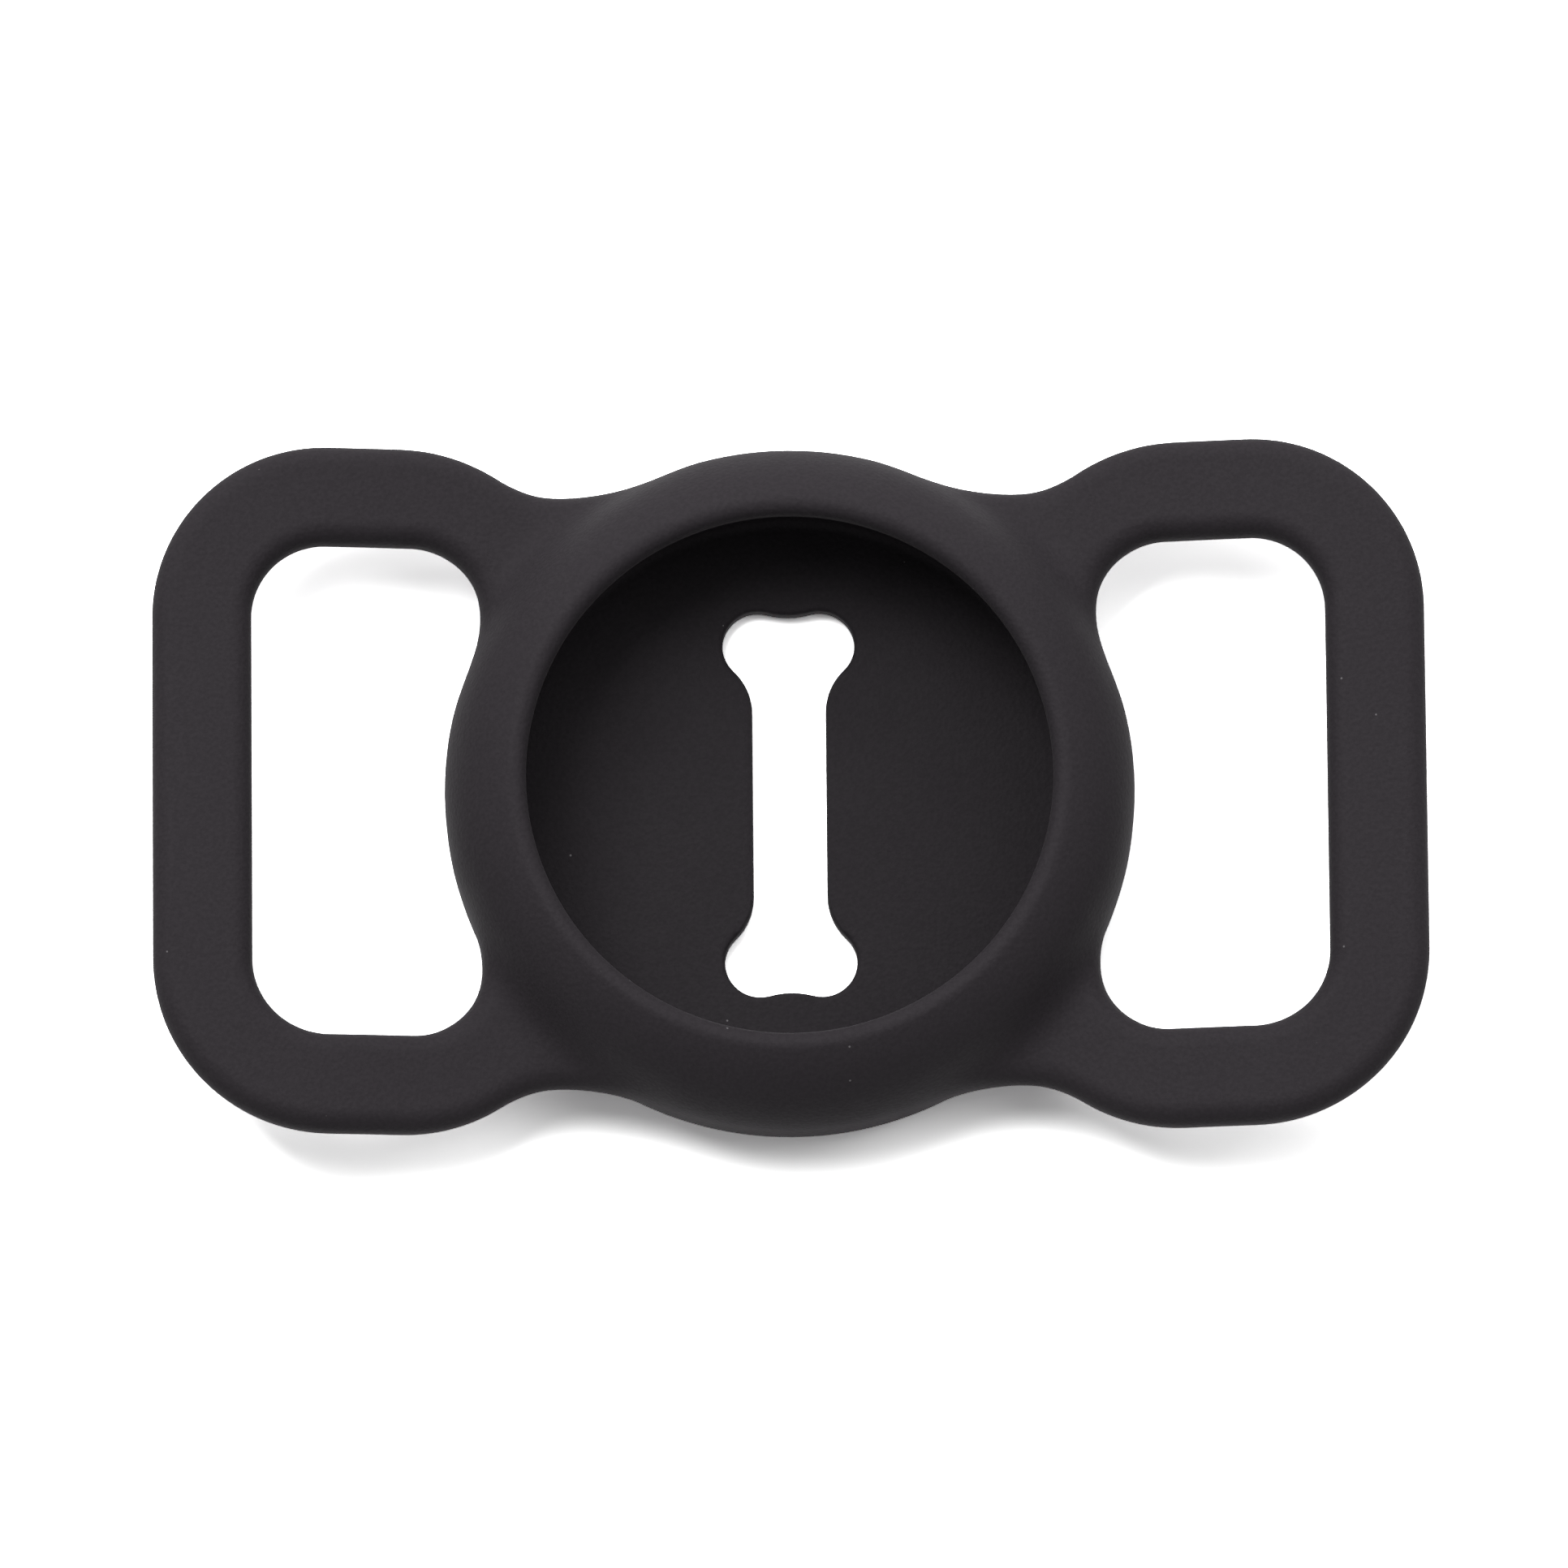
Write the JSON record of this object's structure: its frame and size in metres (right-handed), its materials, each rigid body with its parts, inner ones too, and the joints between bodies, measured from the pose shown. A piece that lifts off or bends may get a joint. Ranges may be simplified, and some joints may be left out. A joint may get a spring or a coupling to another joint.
{
  "type": "tracker tag holder",
  "caption": "Soft moulded holder that carries a coin-shaped tracker tag on a pet collar: a round cup with a gripping lip and a bone-shaped window, and a flexible strap loop on each side.",
  "frame": {"origin": "middle of the flat underside of the cup, which is the surface that it lies on", "axes": "+X along the collar, from loop to loop; +Y across the collar; +Z out of the cup's open mouth"},
  "size_m": [0.07, 0.0384, 0.0105],
  "materials": {
    "silicone": "matte black silicone with a fine moulded grain"
  },
  "bodies": {
    "cup": {"pocket_cup": "silicone", "front_left_neck": "silicone", "rear_left_neck": "silicone", "front_right_neck": "silicone", "rear_right_neck": "silicone"},
    "left_strap_loop": {"left_loop": "silicone"},
    "right_strap_loop": {"right_loop": "silicone"}
  },
  "joints": [
    {"name": "left_fold", "type": "hinge", "parent": "cup", "child": "left_strap_loop", "pos_m": [-0.0211, 0, 0.00568], "axis": [0, 1, 0], "range_deg": [-45, 60], "stiffness_Nm_per_rad": 0.015, "deforming": ["front_left_neck", "rear_left_neck"]},
    {"name": "right_fold", "type": "hinge", "parent": "cup", "child": "right_strap_loop", "pos_m": [0.0211, 0, 0.00568], "axis": [0, -1, 0], "range_deg": [-45, 60], "stiffness_Nm_per_rad": 0.015, "deforming": ["front_right_neck", "rear_right_neck"]}
  ]
}
